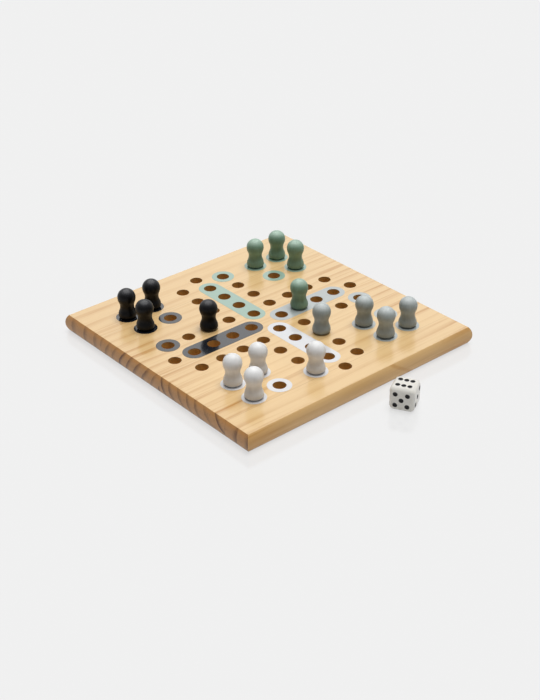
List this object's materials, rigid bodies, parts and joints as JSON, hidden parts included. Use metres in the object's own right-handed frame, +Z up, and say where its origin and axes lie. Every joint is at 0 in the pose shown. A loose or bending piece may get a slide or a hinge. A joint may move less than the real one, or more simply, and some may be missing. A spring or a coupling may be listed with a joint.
{
  "type": "ludo board game",
  "caption": "Square wooden ludo board with drilled peg sockets and printed fields, its turned pegged pawns in matching colours, and a rounded die.",
  "frame": {"origin": "centre of the board's underside, on the table", "axes": "+Z up, +X along the grain of the board, -Y towards the die in front of the board"},
  "size_m": [0.19, 0.2225, 0.0328],
  "materials": {
    "pine": "clear satin lacquer",
    "black_paint": "satin paint on wood",
    "green_paint": "satin paint on wood",
    "grey_paint": "satin paint on wood",
    "white_paint": "satin paint on wood",
    "black_ink": "gloss ink film",
    "green_ink": "gloss ink film",
    "grey_ink": "gloss ink film",
    "white_ink": "gloss ink film",
    "die_plastic": "polished",
    "pip_paint": "gloss paint"
  },
  "bodies": {
    "board": {"front_stave": "pine", "front_middle_stave": "pine", "rear_middle_stave": "pine", "rear_stave": "pine", "grey_lane_print": "grey_ink", "grey_ring_print": "grey_ink", "green_lane_print": "green_ink", "green_ring_print": "green_ink", "black_lane_print": "black_ink", "black_ring_print": "black_ink", "white_lane_print": "white_ink", "white_ring_print": "white_ink"},
    "grey_pawn_1": {"grey_pawn_1": "grey_paint"},
    "grey_pawn_2": {"grey_pawn_2": "grey_paint"},
    "grey_pawn_3": {"grey_pawn_3": "grey_paint"},
    "grey_pawn_4": {"grey_pawn_4": "grey_paint"},
    "green_pawn_1": {"green_pawn_1": "green_paint"},
    "green_pawn_2": {"green_pawn_2": "green_paint"},
    "green_pawn_3": {"green_pawn_3": "green_paint"},
    "green_pawn_4": {"green_pawn_4": "green_paint"},
    "black_pawn_1": {"black_pawn_1": "black_paint"},
    "black_pawn_2": {"black_pawn_2": "black_paint"},
    "black_pawn_3": {"black_pawn_3": "black_paint"},
    "black_pawn_4": {"black_pawn_4": "black_paint"},
    "white_pawn_1": {"white_pawn_1": "white_paint"},
    "white_pawn_2": {"white_pawn_2": "white_paint"},
    "white_pawn_3": {"white_pawn_3": "white_paint"},
    "white_pawn_4": {"white_pawn_4": "white_paint"},
    "die": {"die_body": "die_plastic", "die_pips": "pip_paint"}
  },
  "joints": [
    {"name": "grey_pawn_1_lift", "type": "slide", "parent": "board", "child": "grey_pawn_1", "axis": [0, 0, 1], "range_m": [0, 0.03]},
    {"name": "grey_pawn_2_lift", "type": "slide", "parent": "board", "child": "grey_pawn_2", "axis": [0, 0, 1], "range_m": [0, 0.03]},
    {"name": "grey_pawn_3_lift", "type": "slide", "parent": "board", "child": "grey_pawn_3", "axis": [0, 0, 1], "range_m": [0, 0.03]},
    {"name": "grey_pawn_4_lift", "type": "slide", "parent": "board", "child": "grey_pawn_4", "axis": [0, 0, 1], "range_m": [0, 0.03]},
    {"name": "green_pawn_1_lift", "type": "slide", "parent": "board", "child": "green_pawn_1", "axis": [0, 0, 1], "range_m": [0, 0.03]},
    {"name": "green_pawn_2_lift", "type": "slide", "parent": "board", "child": "green_pawn_2", "axis": [0, 0, 1], "range_m": [0, 0.03]},
    {"name": "green_pawn_3_lift", "type": "slide", "parent": "board", "child": "green_pawn_3", "axis": [0, 0, 1], "range_m": [0, 0.03]},
    {"name": "green_pawn_4_lift", "type": "slide", "parent": "board", "child": "green_pawn_4", "axis": [0, 0, 1], "range_m": [0, 0.03]},
    {"name": "black_pawn_1_lift", "type": "slide", "parent": "board", "child": "black_pawn_1", "axis": [0, 0, 1], "range_m": [0, 0.03]},
    {"name": "black_pawn_2_lift", "type": "slide", "parent": "board", "child": "black_pawn_2", "axis": [0, 0, 1], "range_m": [0, 0.03]},
    {"name": "black_pawn_3_lift", "type": "slide", "parent": "board", "child": "black_pawn_3", "axis": [0, 0, 1], "range_m": [0, 0.03]},
    {"name": "black_pawn_4_lift", "type": "slide", "parent": "board", "child": "black_pawn_4", "axis": [0, 0, 1], "range_m": [0, 0.03]},
    {"name": "white_pawn_1_lift", "type": "slide", "parent": "board", "child": "white_pawn_1", "axis": [0, 0, 1], "range_m": [0, 0.03]},
    {"name": "white_pawn_2_lift", "type": "slide", "parent": "board", "child": "white_pawn_2", "axis": [0, 0, 1], "range_m": [0, 0.03]},
    {"name": "white_pawn_3_lift", "type": "slide", "parent": "board", "child": "white_pawn_3", "axis": [0, 0, 1], "range_m": [0, 0.03]},
    {"name": "white_pawn_4_lift", "type": "slide", "parent": "board", "child": "white_pawn_4", "axis": [0, 0, 1], "range_m": [0, 0.03]},
    {"name": "die_lift", "type": "slide", "parent": "board", "child": "die", "axis": [0, 0, 1], "range_m": [0, 0.04]}
  ]
}
